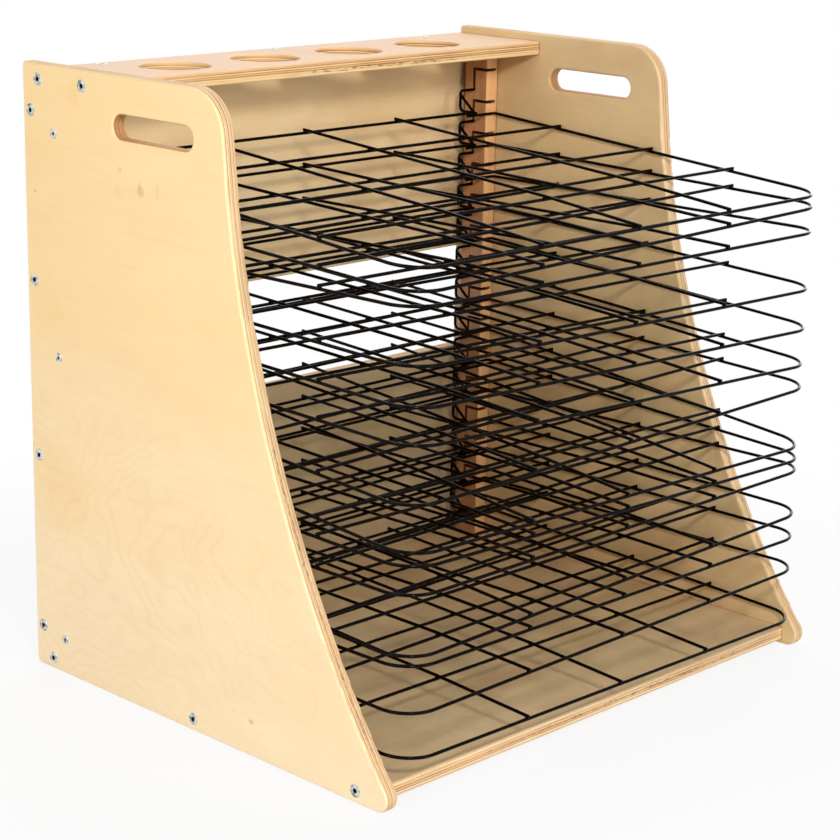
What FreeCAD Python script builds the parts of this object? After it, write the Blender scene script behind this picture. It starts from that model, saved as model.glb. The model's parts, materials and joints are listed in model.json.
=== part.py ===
import FreeCAD, Part
import math
import os

# Art drying rack for a classroom: a plywood case with fourteen wire racks.
# Millimetres, +Z up, the open front faces -Y and +X is to the right.
# The origin is under the middle of the whole object, at floor level.
# Depths are counted forward from the rear edges of the two side panels.

# Case
case_width = 650.0
case_height = 640.0
ply = 15.0
rear_y = 269.1
edge_round = 3.0
inner_x = case_width / 2 - ply
outer_x = case_width / 2

# Side panel outline
top_corner_r = 45.0
rear_top_r = 4.0
rear_bottom_r = 6.0
foot_corner_r = 14.0
lean_deg = 6.4
lean_depth = 310.2
lean_z = 565.0
sweep_r = 1090.0

# Hand hold cut through each side panel
grip_depth = 204.0
grip_z = 590.5
grip_length = 118.0
grip_height = 24.0

# Top shelf with its paint pot holes
shelf_bottom = 616.5
shelf_depth = 127.0
shelf_round = 1.5
pot_r = 37.5
pot_depth = 67.0
pot_x = [-183.9, -61.3, 61.3, 183.9]

# Bottom board
board_bottom = 5.0
board_depth = 514.0

# Back panels, one under the shelf and one on the board
back_setback = 5.0
upper_back_bottom = 379.0
lower_back_top = 256.0

# Uprights with the L-shaped slots that carry the racks
upright_width = 19.0
upright_rear = 28.0
upright_front = 63.0
upright_chamfer = 0.8
slot_count = 14
slot_pitch = 37.4
first_mouth_z = 593.8
slot_drop = 24.3
slot_run = 20.0
slot_reach = 15.5

# Rack wire; the rear height of a rack is that of its hoop's turned-in ends
wire_r = 1.7
pin_play = 0.08
weld_bite = 0.04
rack_half_width = 304.5
rack_depth = 471.5
rack_corner_r = 35.0
rear_corner_r = 3.0
hoop_end_x = 257.0
rear_wire_end_x = 266.0
cross_wire_depths = [101.0, 237.0, 350.0]
long_wire_x = [-140.0, 0.0, 140.0]
long_wire_past = 2.5
rear_wire_depth = 65.0
rear_wire_drop = 26.8

# Droop of each rack's left and right sides as it hangs, top rack first
left_tilts_deg = [4.4, 2.4, -0.6, 1.4, 1.4, 1.1, 3.4, 4.3, 1.2, 0.0, 2.7, -0.8, 0.3, 1.1]
right_tilts_deg = [4.2, 1.1, -0.2, 2.7, 3.4, 3.6, 2.0, 5.5, 2.6, -0.5, 0.9, -0.4, -0.5, 2.1]

# Hinge brackets, one near each rear corner of a rack
leg_x = 268.0
pin_end_gap = 0.5
pin_bend_r = 4.0
foot_bend_r = 6.0
foot_past = 4.0

# Socket screws
large_head_r = 6.5
large_shank_r = 3.0
large_length = 50.0
large_socket = 5.0
small_head_r = 5.0
small_shank_r = 2.0
small_length = 31.0
small_socket = 3.2
head_proud = 0.4
screw_play = 0.05

shelf_screw_depths = [25.5, 96.5]
shelf_screw_z = shelf_bottom + ply / 2
board_screw_depths = [29.0, 258.0, 490.0]
board_screw_z = board_bottom + ply / 2
back_screw_depth = back_setback + ply / 2
upper_back_screw_z = [592.0, 419.0]
lower_back_screw_z = [233.0, 45.0]
upright_screw_depth = 50.0
upright_screw_z = [572.3, 343.7, 38.3]
shelf_to_back_x = [-235.0, 0.0, 235.0]

Vec = FreeCAD.Vector
x_axis = Vec(1, 0, 0)
y_axis = Vec(0, 1, 0)
z_axis = Vec(0, 0, 1)


def at_depth(depth):
    """Y position of a point that lies this far forward of the rear edge."""
    return rear_y - depth


def save(shapes, node):
    """Write one node, which may be a group of separate solids."""
    if len(shapes) == 1:
        shape = shapes[0]
    else:
        shape = Part.makeCompound(shapes)
    if not shape.isValid():
        raise ValueError("bad shape in " + node)
    shape.exportStep("parts/" + node + ".step")
    print(node, len(shape.Solids), round(shape.Volume, 1))


def mirrored(shape):
    """The same piece on the other side of the middle plane."""
    return shape.mirror(Vec(0, 0, 0), x_axis)


def only_solid(shape):
    """The largest solid of a cut, without the wrapping compound."""
    return max(shape.Solids, key=lambda solid: solid.Volume)


def box(x0, x1, y0, y1, z0, z1):
    return Part.makeBox(x1 - x0, y1 - y0, z1 - z0, Vec(x0, y0, z0))


def rod(start, end, radius):
    """Round bar between two points."""
    run = end - start
    return Part.makeCylinder(radius, run.Length, start, run)


def arc_edge(start, centre, end):
    """Short arc of a circle from start to end about its centre."""
    middle = (start - centre) + (end - centre)
    middle.normalize()
    radius = (start - centre).Length
    return Part.Arc(start, centre + middle * radius, end).toShape()


def bent_wire(points, bend_radii, radius):
    """Round wire along straight runs joined by tangent bends."""
    edges = []
    here = points[0]
    for index in range(1, len(points) - 1):
        corner = points[index]
        before = (corner - points[index - 1]).normalize()
        after = (points[index + 1] - corner).normalize()
        turn = before.getAngle(after)
        bend = bend_radii[index - 1]
        setback = bend * math.tan(turn / 2)
        bend_start = corner - before * setback
        bend_end = corner + after * setback
        inward = (after - before).normalize()
        centre = corner + inward * (bend / math.cos(turn / 2))
        edges.append(Part.LineSegment(here, bend_start).toShape())
        edges.append(arc_edge(bend_start, centre, bend_end))
        here = bend_end
    edges.append(Part.LineSegment(here, points[-1]).toShape())
    path = Part.Wire(edges)
    first_run = points[1] - points[0]
    section = Part.Wire([Part.makeCircle(radius, points[0], first_run)])
    return path.makePipeShell([section], True, False)


def side_outline():
    """Closed outline of a side panel in the plane X = 0."""
    lean = math.radians(lean_deg)
    lean_point = Vec(0, at_depth(lean_depth), lean_z)
    # Straight part of the front edge, carried up to the top edge
    rise = case_height - lean_z
    top_y = lean_point.y + rise * math.tan(lean)
    top_corner = Vec(0, top_y, case_height)
    corner_turn = math.radians(90.0 - lean_deg)
    setback = top_corner_r * math.tan(corner_turn / 2)
    up_the_front = Vec(0, math.sin(lean), math.cos(lean))
    corner_front = top_corner - up_the_front * setback
    corner_top = top_corner + y_axis * setback
    corner_centre = Vec(0, corner_top.y, case_height - top_corner_r)
    # Long sweep that carries the front edge forward to the foot
    sweep_centre = lean_point + Vec(0, -math.cos(lean), math.sin(lean)) * sweep_r
    foot_reach = sweep_r + foot_corner_r
    foot_rise = sweep_centre.z - foot_corner_r
    foot_y = sweep_centre.y + math.sqrt(foot_reach ** 2 - foot_rise ** 2)
    foot_centre = Vec(0, foot_y, foot_corner_r)
    foot_meet = sweep_centre + (foot_centre - sweep_centre).normalize() * sweep_r
    foot_bottom = Vec(0, foot_y, 0)
    # Rear corners
    rear = at_depth(0)
    low_centre = Vec(0, rear - rear_bottom_r, rear_bottom_r)
    low_start = Vec(0, rear - rear_bottom_r, 0)
    low_end = Vec(0, rear, rear_bottom_r)
    high_centre = Vec(0, rear - rear_top_r, case_height - rear_top_r)
    high_start = Vec(0, rear, case_height - rear_top_r)
    high_end = Vec(0, rear - rear_top_r, case_height)
    edges = [
        Part.LineSegment(foot_bottom, low_start).toShape(),
        arc_edge(low_start, low_centre, low_end),
        Part.LineSegment(low_end, high_start).toShape(),
        arc_edge(high_start, high_centre, high_end),
        Part.LineSegment(high_end, corner_top).toShape(),
        arc_edge(corner_top, corner_centre, corner_front),
        Part.LineSegment(corner_front, lean_point).toShape(),
        arc_edge(lean_point, sweep_centre, foot_meet),
        arc_edge(foot_meet, foot_centre, foot_bottom),
    ]
    return Part.Wire(edges)


def grip_cutter():
    """Slot with round ends, cut through a side panel for a hand."""
    end_r = grip_height / 2
    half = grip_length / 2 - end_r
    middle = at_depth(grip_depth)
    rear_end = Part.makeCylinder(end_r, ply + 2, Vec(inner_x - 1, middle + half, grip_z), x_axis)
    front_end = Part.makeCylinder(end_r, ply + 2, Vec(inner_x - 1, middle - half, grip_z), x_axis)
    body = box(inner_x - 1, outer_x + 1, middle - half, middle + half,
               grip_z - end_r, grip_z + end_r)
    return body.fuse([rear_end, front_end]).removeSplitter()


def round_over(solid, test, radius):
    """Round the edges that pass the test."""
    edges = [edge for edge in solid.Edges if test(edge)]
    return only_solid(solid.makeFillet(radius, edges))


def on_side_face(edge):
    """Edges that lie flat in the outer or the inner face of the right panel."""
    low = edge.BoundBox.XMin
    high = edge.BoundBox.XMax
    if high - low > 0.001:
        return False
    return abs(low - inner_x) < 0.001 or abs(low - outer_x) < 0.001


def screw_profile(head_r, shank_r, length):
    """Half section of a countersunk screw whose axis is +X, tip first."""
    cone = head_r - shank_r
    face = head_proud
    points = [
        Vec(-length, 0, 0),
        Vec(-length + shank_r, shank_r, 0),
        Vec(-cone - 1.0, shank_r, 0),
        Vec(-1.0, head_r, 0),
        Vec(face - 0.3, head_r, 0),
        Vec(face, head_r - 0.3, 0),
        Vec(face, 0, 0),
        Vec(-length, 0, 0),
    ]
    return Part.Face(Part.makePolygon(points))


def screw(head_r, shank_r, length, socket):
    """Countersunk screw with a hexagon socket, its head face at X = 0."""
    body = screw_profile(head_r, shank_r, length).revolve(Vec(0, 0, 0), x_axis, 360)
    corner_r = socket / math.sqrt(3)
    corners = []
    for step in range(7):
        angle = math.radians(60 * step + 30)
        corners.append(Vec(-2.6, corner_r * math.cos(angle), corner_r * math.sin(angle)))
    hexagon = Part.Face(Part.makePolygon(corners)).extrude(Vec(6, 0, 0))
    return only_solid(body.cut(hexagon))


def screw_bore(head_r, shank_r, length):
    """Space that a screw fills: its shank hole and its countersink."""
    cone = head_r - shank_r
    points = [
        Vec(-length - 1.0, 0, 0),
        Vec(-length - 1.0, shank_r + screw_play, 0),
        Vec(-cone - 1.0, shank_r + screw_play, 0),
        Vec(-1.0, head_r + screw_play, 0),
        Vec(5.0, head_r + screw_play, 0),
        Vec(5.0, 0, 0),
        Vec(-length - 1.0, 0, 0),
    ]
    return Part.Face(Part.makePolygon(points)).revolve(Vec(0, 0, 0), x_axis, 360)


def side_spots(depths, heights):
    """Screw places on the right panel's outer face."""
    spots = []
    for depth in depths:
        for height in heights:
            spots.append(Vec(outer_x, at_depth(depth), height))
    return spots


def placed(shape, spots):
    """Copies of a shape at several places."""
    copies = []
    for spot in spots:
        copy = shape.copy()
        copy.translate(spot)
        copies.append(copy)
    return copies


def both_sides(shapes):
    """Pieces of the right side with their twins on the left."""
    return shapes + [mirrored(shape) for shape in shapes]


shelf_spots = side_spots(shelf_screw_depths, [shelf_screw_z])
board_spots = side_spots(board_screw_depths, [board_screw_z])
upper_back_spots = side_spots([back_screw_depth], upper_back_screw_z)
lower_back_spots = side_spots([back_screw_depth], lower_back_screw_z)
upright_spots = side_spots([upright_screw_depth], upright_screw_z)

large_screw = screw(large_head_r, large_shank_r, large_length, large_socket)
small_screw = screw(small_head_r, small_shank_r, small_length, small_socket)
large_bore = screw_bore(large_head_r, large_shank_r, large_length)
small_bore = screw_bore(small_head_r, small_shank_r, small_length)

shelf_bores = placed(large_bore, shelf_spots)
board_bores = placed(large_bore, board_spots)
upper_back_bores = placed(large_bore, upper_back_spots)
lower_back_bores = placed(large_bore, lower_back_spots)
upright_bores = placed(small_bore, upright_spots)

# A screw standing on its tip, for the three that go down through the shelf
shelf_top = shelf_bottom + ply
down_spots = [Vec(x, at_depth(back_screw_depth), shelf_top) for x in shelf_to_back_x]
down_screw = large_screw.rotated(Vec(0, 0, 0), y_axis, -90)
down_bore = large_bore.rotated(Vec(0, 0, 0), y_axis, -90)
down_bores = placed(down_bore, down_spots)


def side_panel():
    """Right side panel: round edges, hand hold and screw holes."""
    outline = side_outline()
    outline.translate(Vec(inner_x, 0, 0))
    panel = Part.Face(outline).extrude(Vec(ply, 0, 0))
    panel = only_solid(panel.cut(grip_cutter()))
    panel = round_over(panel, on_side_face, edge_round)
    bores = shelf_bores + board_bores + upper_back_bores + lower_back_bores + upright_bores
    return only_solid(panel.cut(bores))


def long_edge_at(edge, y, z):
    """True for an edge that runs along X at this place."""
    bounds = edge.BoundBox
    if bounds.XLength < 400:
        return False
    return abs(bounds.Center.y - y) < 0.01 and abs(bounds.Center.z - z) < 0.01


def top_shelf():
    """Shelf between the side panels, with four round pot holes."""
    front = at_depth(shelf_depth)
    rear = at_depth(0)
    board = box(-inner_x, inner_x, front, rear, shelf_bottom, shelf_top)
    for x in pot_x:
        hole = Part.makeCylinder(pot_r, ply + 2, Vec(x, at_depth(pot_depth), shelf_bottom - 1))
        board = only_solid(board.cut(hole))

    def soft(edge):
        if edge.BoundBox.ZLength > 0.001:
            return False
        if isinstance(edge.Curve, Part.Circle):
            return True
        return edge.BoundBox.XLength > 400

    board = round_over(board, soft, shelf_round)
    bores = shelf_bores + [mirrored(bore) for bore in shelf_bores] + down_bores
    return only_solid(board.cut(bores))


def bottom_board():
    """Board between the side panels, just clear of the floor."""
    front = at_depth(board_depth)
    rear = at_depth(0)
    top = board_bottom + ply
    board = box(-inner_x, inner_x, front, rear, board_bottom, top)

    def soft(edge):
        return edge.BoundBox.XLength > 400

    board = round_over(board, soft, 2.5)
    bores = board_bores + [mirrored(bore) for bore in board_bores]
    return only_solid(board.cut(bores))


def back_panel(bottom, top, free_z, bores):
    """Back panel whose free edge is rounded; the other edge butts a board."""
    front = at_depth(back_setback + ply)
    rear = at_depth(back_setback)
    panel = box(-inner_x, inner_x, front, rear, bottom, top)

    def soft(edge):
        return long_edge_at(edge, front, free_z) or long_edge_at(edge, rear, free_z)

    panel = round_over(panel, soft, 2.5)
    return only_solid(panel.cut(bores))


def slot_cutter(mouth_z):
    """L-shaped slot: in from the front, then down to the pin's seat."""
    slot_r = wire_r + pin_play
    start = inner_x - upright_width - 1
    reach = slot_reach + 1
    pin_y = at_depth(upright_front - slot_run)
    seat_z = mouth_z - slot_drop
    run = box(start, start + reach, at_depth(upright_front + 1), pin_y,
              mouth_z - slot_r, mouth_z + slot_r)
    drop = box(start, start + reach, pin_y - slot_r, pin_y + slot_r, seat_z, mouth_z)
    seat = Part.makeCylinder(slot_r, reach, Vec(start, pin_y, seat_z), x_axis)
    elbow = Part.makeCylinder(slot_r, reach, Vec(start, pin_y, mouth_z), x_axis)
    return run.fuse([drop, seat, elbow]).removeSplitter()


def upright():
    """Right upright, standing on the board under the shelf."""
    post = box(inner_x - upright_width, inner_x, at_depth(upright_front),
               at_depth(upright_rear), board_bottom + ply, shelf_bottom)
    corners = [edge for edge in post.Edges if edge.BoundBox.ZLength > 100]
    post = post.makeChamfer(upright_chamfer, corners)
    cutters = []
    for index in range(slot_count):
        cutters.append(slot_cutter(first_mouth_z - slot_pitch * index))
    return only_solid(post.cut(cutters + upright_bores))


def rack_point(spot, rear_z, tilts_deg):
    """Place in a hanging rack of a spot given as X, run from the rear and level.

    The two sides of a rack droop by their own angles, and the wires between
    them stay straight.
    """
    ends = []
    for side, tilt_deg in zip([-1, 1], tilts_deg):
        tilt = math.radians(tilt_deg)
        out = Vec(0, -math.cos(tilt), -math.sin(tilt))
        up = Vec(0, -math.sin(tilt), math.cos(tilt))
        rear = Vec(side * rack_half_width, at_depth(rear_wire_depth), rear_z)
        ends.append(rear + out * spot.y + up * spot.z)
    share = (spot.x + rack_half_width) / (2 * rack_half_width)
    return ends[0] + (ends[1] - ends[0]) * share


def rack_grid(rear_z, tilts_deg):
    """Outer wires and cross wires of one rack, drooping from its rear corners."""
    def hung(spots):
        return [rack_point(spot, rear_z, tilts_deg) for spot in spots]

    side = rack_half_width
    hoop_spots = [
        Vec(-hoop_end_x, 0, 0),
        Vec(-side, 0, 0),
        Vec(-side, rack_depth, 0),
        Vec(side, rack_depth, 0),
        Vec(side, 0, 0),
        Vec(hoop_end_x, 0, 0),
    ]
    bends = [rear_corner_r, rack_corner_r, rack_corner_r, rear_corner_r]
    hoop = bent_wire(hung(hoop_spots), bends, wire_r)
    # The rear wire and the cross wires lie on the hoop, the long wires on those
    level = 2 * wire_r - weld_bite
    rear_start = Vec(-rear_wire_end_x, at_depth(rear_wire_depth), rear_z + level)
    rear_wire = rod(rear_start, rear_start + Vec(2 * rear_wire_end_x, 0, 0), wire_r)
    cross_wires = []
    for run in cross_wire_depths:
        ends = hung([Vec(-side - wire_r, run, level), Vec(side + wire_r, run, level)])
        cross_wires.append(rod(ends[0], ends[1], wire_r))
    # In front of the last cross wire the long wires come down onto the hoop
    last = cross_wire_depths[-1]
    fall = level / (rack_depth - last)
    long_wires = []
    for x in long_wire_x:
        spots = [
            Vec(x, -long_wire_past, 2 * level),
            Vec(x, last, 2 * level),
            Vec(x, rack_depth + wire_r, level - fall * wire_r),
        ]
        long_wires.append(bent_wire(hung(spots), [60.0], wire_r))
    return [hoop, rear_wire], cross_wires + long_wires


def hinge_bracket(pin_z, rear_z):
    """Right hinge: a bent wire with its pin, and a slanting brace."""
    pin_y = at_depth(upright_front - slot_run)
    pin_tip = inner_x - upright_width + slot_reach - pin_end_gap
    foot_z = rear_z + 2 * wire_r - weld_bite
    foot_end = at_depth(rear_wire_depth + foot_past)
    points = [
        Vec(pin_tip, pin_y, pin_z),
        Vec(leg_x, pin_y, pin_z),
        Vec(leg_x, pin_y, foot_z),
        Vec(leg_x, foot_end, foot_z),
    ]
    leg = bent_wire(points, [pin_bend_r, foot_bend_r], wire_r)
    brace_top = Vec(leg_x, pin_y - 0.5, pin_z - 5.0)
    brace_low = Vec(leg_x, at_depth(rear_wire_depth) + 0.4, foot_z + 0.8)
    brace = rod(brace_top, brace_low, wire_r)
    brace = only_solid(brace.cut(leg))
    return [leg, brace]


os.makedirs("parts", exist_ok=True)

right_panel = side_panel()
save([mirrored(right_panel)], "side_panel_left")
save([right_panel], "side_panel_right")
save([top_shelf()], "top_shelf")
save([bottom_board()], "bottom_board")

all_upper_bores = both_sides(upper_back_bores) + down_bores
save([back_panel(upper_back_bottom, shelf_bottom, upper_back_bottom, all_upper_bores)],
     "back_panel_upper")
save([back_panel(board_bottom + ply, lower_back_top, lower_back_top,
                 both_sides(lower_back_bores))], "back_panel_lower")

right_upright = upright()
save([mirrored(right_upright)], "upright_left")
save([right_upright], "upright_right")

save(both_sides(placed(large_screw, shelf_spots)), "shelf_side_screws")
save(placed(down_screw, down_spots), "shelf_back_screws")
save(both_sides(placed(large_screw, board_spots)), "board_screws")
save(both_sides(placed(large_screw, upper_back_spots)), "back_upper_screws")
save(both_sides(placed(large_screw, lower_back_spots)), "back_lower_screws")
save(both_sides(placed(small_screw, upright_spots)), "upright_screws")

for number in range(slot_count):
    name = "rack_%02d" % (number + 1)
    pin_height = first_mouth_z - slot_pitch * number - slot_drop
    rear_height = pin_height - rear_wire_drop
    tilts = [left_tilts_deg[number], right_tilts_deg[number]]
    outer_wires, grid_wires = rack_grid(rear_height, tilts)
    save(outer_wires, name + "_rim")
    save(grid_wires, name + "_wires")
    save(both_sides(hinge_bracket(pin_height, rear_height)), name + "_hinges")
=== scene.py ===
import json
import math

import bpy
from mathutils import Matrix, Vector


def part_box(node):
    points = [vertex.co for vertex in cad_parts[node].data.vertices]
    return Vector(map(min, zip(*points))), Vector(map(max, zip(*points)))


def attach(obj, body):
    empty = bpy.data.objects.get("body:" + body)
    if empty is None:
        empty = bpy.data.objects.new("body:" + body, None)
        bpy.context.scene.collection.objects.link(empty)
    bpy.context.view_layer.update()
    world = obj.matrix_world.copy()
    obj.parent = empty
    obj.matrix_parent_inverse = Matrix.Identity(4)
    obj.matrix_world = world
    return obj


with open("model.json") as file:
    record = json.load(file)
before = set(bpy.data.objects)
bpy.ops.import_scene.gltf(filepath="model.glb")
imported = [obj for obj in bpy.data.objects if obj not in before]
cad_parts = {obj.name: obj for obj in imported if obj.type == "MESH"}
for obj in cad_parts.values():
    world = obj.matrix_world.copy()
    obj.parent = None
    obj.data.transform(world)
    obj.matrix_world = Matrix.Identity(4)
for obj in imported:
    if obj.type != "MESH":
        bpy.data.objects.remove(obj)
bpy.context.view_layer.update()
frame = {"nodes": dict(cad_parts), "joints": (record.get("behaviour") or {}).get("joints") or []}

bl_info = {
    "name": "Art drying rack",
    "version": (1, 0, 0),
    "blender": (4, 5, 0),
    "location": "3D View > Sidebar > Drying Rack",
    "description": "Finishes and small parts of a plywood drying rack with lifting wire shelves",
    "category": "Object",
}

NODES = frame["nodes"]
PIVOTS = {joint["child"]: Vector(joint["pos_m"]) for joint in frame["joints"]}
RACKS = sorted(PIVOTS)

# Droop of each rack's left and right sides as it hangs, in degrees, top rack first
LEFT_DROOP = (4.4, 2.4, -0.6, 1.4, 1.4, 1.1, 3.4, 4.3, 1.2, 0.0, 2.7, -0.8, 0.3, 1.1)
RIGHT_DROOP = (4.2, 1.1, -0.2, 2.7, 3.4, 3.6, 2.0, 5.5, 2.6, -0.5, 0.9, -0.4, -0.5, 2.1)


def linear(red, green, blue):
    """Scene colour of a paint-chart colour given as three numbers up to 255."""
    made = []
    for value in (red, green, blue):
        share = value / 255
        if share <= 0.04045:
            made.append(share / 12.92)
        else:
            made.append(((share + 0.055) / 1.055) ** 2.4)
    return tuple(made)


def colour_prop(name, description, default):
    """Colour setting, its default given as a paint-chart colour."""
    return bpy.props.FloatVectorProperty(
        name=name, description=description, default=linear(*default),
        subtype="COLOR", size=3, min=0.0, max=1.0)


def length_prop(name, description, default):
    """Length setting in metres."""
    return bpy.props.FloatProperty(
        name=name, description=description, default=default,
        unit="LENGTH", precision=5, min=0.0)


def share_prop(name, description, default):
    """Setting from 0 to 1."""
    return bpy.props.FloatProperty(
        name=name, description=description, default=default,
        subtype="FACTOR", min=0.0, max=1.0)


def power_prop(name, description, default):
    """Power of a lamp in watts."""
    return bpy.props.FloatProperty(
        name=name, description=description, default=default, unit="POWER", min=0.0)


class PlywoodSettings(bpy.types.PropertyGroup):
    """Colours and grain of the birch plywood. Tints multiply the veneer."""
    side_face: colour_prop("Side panels", "Outer veneer of the two side panels", (254, 230, 189))
    # Painted shade: the veneer inside the case is given a darker colour than the same veneer
    # outside
    shaded_inner_face: colour_prop("Inner faces", "Veneer inside the case", (226, 197, 149))
    shelf_face: colour_prop("Top shelf", "Veneer on top of the shelf", (242, 201, 161))
    board_face: colour_prop("Bottom board", "Veneer of the board", (226, 199, 155))
    upper_back: colour_prop("Upper back", "Veneer of the upper back panel", (238, 210, 162))
    # Painted shade: the lower back, deep in the case behind the racks, is given a darker colour
    shaded_lower_back: colour_prop("Lower back", "Veneer of the lower back panel", (196, 175, 138))
    pale_ply: colour_prop("Pale ply", "Plies seen along their grain", (252, 226, 178))
    tan_ply: colour_prop("Tan ply", "Plies seen on their end grain", (238, 194, 140))
    shelf_ply: colour_prop("Shelf plies", "Tint of the shelf's cut plies", (252, 242, 224))
    glue: colour_prop("Glue line", "Thin brown lines between plies", (146, 88, 48))
    joint: colour_prop("Joint tint", "Thin dark line where a sheet meets a side", (120, 92, 66))
    # Painted shade on the walls of the hand holds
    hold_shade: colour_prop("Burn tint", "Walls of the hand holds, browned by the cutter",
                      (214, 186, 158))
    honey: colour_prop("Honey tint", "Broad yellow clouds", (253, 246, 229))
    mottle: colour_prop("Mottle tint", "Small soft mottling", (247, 241, 230))
    # Partly the veneer's own mottling and partly painted shadow of the wires inside the case
    patch_and_shadow: colour_prop("Patch tint", "Grey-pink patches, strongest inside the case",
                       (228, 214, 206))
    ring: colour_prop("Ring tint", "Growth rings and grain lines", (245, 232, 208))
    stain: colour_prop("Stain tint", "Warm orange stains", (252, 240, 218))
    smudge: colour_prop("Smudge tint", "Brown smudges and pores", (214, 198, 176))
    knot: colour_prop("Knot tint", "Pin knots", (160, 120, 90))
    rings: share_prop("Rings", "Strength of the growth rings", 0.22)
    grain: share_prop("Grain", "Strength of the fine grain", 0.4)
    cloud: share_prop("Clouds", "Strength of the clouds and mottling", 0.7)
    wander: share_prop("Ply wander", "How far a ply strays from its place", 0.25)


class UprightSettings(bpy.types.PropertyGroup):
    """Beech uprights. Tints multiply the wood."""
    # Painted light on the front faces and painted shade on the side faces of the one beech
    wood: colour_prop("Planed front", "Beech on the front faces", (253, 199, 140))
    shaded_sides: colour_prop("Sawn sides", "Beech on the side faces", (196, 142, 98))
    # Painted shade on the walls of the slots
    slot: colour_prop("Slot tint", "Walls of the slots, browned by the cutter", (150, 112, 96))
    # Painted shadow in the gap between an upright and its panel
    joint: colour_prop("Joint tint", "Thin dark line beside the panel", (96, 66, 50))
    band: colour_prop("Band tint", "Growth bands and fibres", (232, 214, 196))
    fleck: colour_prop("Fleck tint", "Short dark dashes along the grain", (176, 142, 116))
    roughness: share_prop("Roughness", "Roughness of the oiled wood", 0.45)


class ScrewSettings(bpy.types.PropertyGroup):
    """Zinc-plated socket screws."""
    zinc: colour_prop("Zinc", "Colour of the plating", (222, 225, 223))
    tarnish: colour_prop("Tarnish", "Dull patches of the plating", (128, 130, 124))
    # Painted shade down in the hexagon sockets
    socket: colour_prop("Socket tint", "Dark grease down in the hexagon sockets", (62, 66, 66))


class RackSettings(bpy.types.PropertyGroup):
    """Wire racks: where their wires cross, and the black coat."""
    coat: colour_prop("Coat", "Colour of the black coat", (9, 4, 2))
    rubbed: colour_prop("Rubbed coat", "Greyed patches of the coat", (44, 39, 35))
    wire_radius: length_prop("Wire radius", "Radius of the coated wire", 0.0017)
    level_step: length_prop("Level step", "Height of one layer of wire over the next", 0.00336)
    half_width: length_prop("Half width", "Middle of the rack to its side wire", 0.3045)
    depth: length_prop("Depth", "Rear wire to front wire", 0.4715)
    rear_ahead: length_prop("Rear ahead", "Rear wire in front of the pins", 0.022)
    rear_below: length_prop("Rear below", "Hoop ends below the pins", 0.0268)
    long_spacing: length_prop("Long wire spacing", "Between the wires that run front to back",
                              0.14)
    long_past: length_prop("Long wire past", "Long wire behind the rear wire", 0.0025)
    foot_x: length_prop("Foot place", "Middle of the rack to a hinge foot", 0.268)
    bead_radius: length_prop("Weld width", "Half the width of a weld bead", 0.0024)
    bead_height: length_prop("Weld height", "Half the height of a weld bead", 0.0016)
    cap_height: length_prop("End dome", "How far a cut wire end is domed by its coat", 0.0006)
    cross_runs: bpy.props.FloatVectorProperty(
        name="Cross wires", description="Rear wire to each cross wire",
        default=(0.101, 0.237, 0.350), size=3, unit="LENGTH", precision=4)


class StageSettings(bpy.types.PropertyGroup):
    """Studio light, floor and camera."""
    key_power: power_prop("Key light", "Small light close to the front left", 31.0)
    side_power: power_prop("Side light", "Large soft light on the left", 38.0)
    front_power: power_prop("Front light", "Large soft light on the open front", 42.0)
    top_power: power_prop("Top light", "Soft light above and behind", 28.0)
    far_power: power_prop("Far light", "Soft light on the right side and back", 30.0)
    surround: bpy.props.FloatProperty(
        name="Surround", description="Strength of the light that comes from all round",
        default=0.07, min=0.0)
    floor_size: length_prop("Floor size", "Width of the pale floor", 16.0)
    focal_length: bpy.props.FloatProperty(
        name="Focal length", description="Focal length of the camera",
        default=0.09781, min=0.01, unit="CAMERA")


# ---- Node helpers ----

def pick(sockets, key):
    """The socket in use that has this name or number."""
    if isinstance(key, int):
        return sockets[key]
    for socket in sockets:
        if socket.name == key and socket.enabled:
            return socket
    raise KeyError(key)


def add(tree, kind, inputs=None, **options):
    """A node with its options set and its inputs filled or linked."""
    made = tree.nodes.new(kind)
    for name, value in options.items():
        setattr(made, name, value)
    for key, value in (inputs or {}).items():
        socket = pick(made.inputs, key)
        if isinstance(value, bpy.types.NodeSocket):
            tree.links.new(value, socket)
        else:
            socket.default_value = value
    return made


def calc(tree, operation, *values):
    """Result of a sum on numbers."""
    inputs = dict(enumerate(values))
    return add(tree, "ShaderNodeMath", inputs, operation=operation).outputs[0]


def away_from(tree, value, middle):
    """How far a value is from a middle value."""
    return calc(tree, "ABSOLUTE", calc(tree, "SUBTRACT", value, middle))


def vector_calc(tree, operation, first, second):
    """Result of a sum on two vectors."""
    inputs = {0: first, 1: second}
    return add(tree, "ShaderNodeVectorMath", inputs, operation=operation).outputs[0]


def vector_parts(tree, vector):
    """The X, Y and Z of a vector."""
    return add(tree, "ShaderNodeSeparateXYZ", {0: vector}).outputs


def length_of(tree, vector):
    """How long a vector is."""
    node = add(tree, "ShaderNodeVectorMath", {0: vector}, operation="LENGTH")
    return pick(node.outputs, "Value")


def mix_number(tree, factor, first, second):
    """Goes from the first number to the second as the factor rises."""
    inputs = {"Factor": factor, "A": first, "B": second}
    return add(tree, "ShaderNodeMix", inputs, data_type="FLOAT").outputs[0]


def mix_colour(tree, factor, first, second, blend="MIX"):
    """Goes from the first colour to the second as the factor rises."""
    inputs = {"Factor": factor}
    for key, value in (("A", first), ("B", second)):
        linked = isinstance(value, bpy.types.NodeSocket)
        inputs[key] = value if linked else (*value, 1.0)
    node = add(tree, "ShaderNodeMix", inputs, data_type="RGBA", blend_type=blend,
               clamp_factor=True)
    return pick(node.outputs, "Result")


def tinted(tree, share, colour, tint):
    """Colour multiplied by a tint where the share is high."""
    return mix_colour(tree, share, colour, tint, "MULTIPLY")


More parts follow.
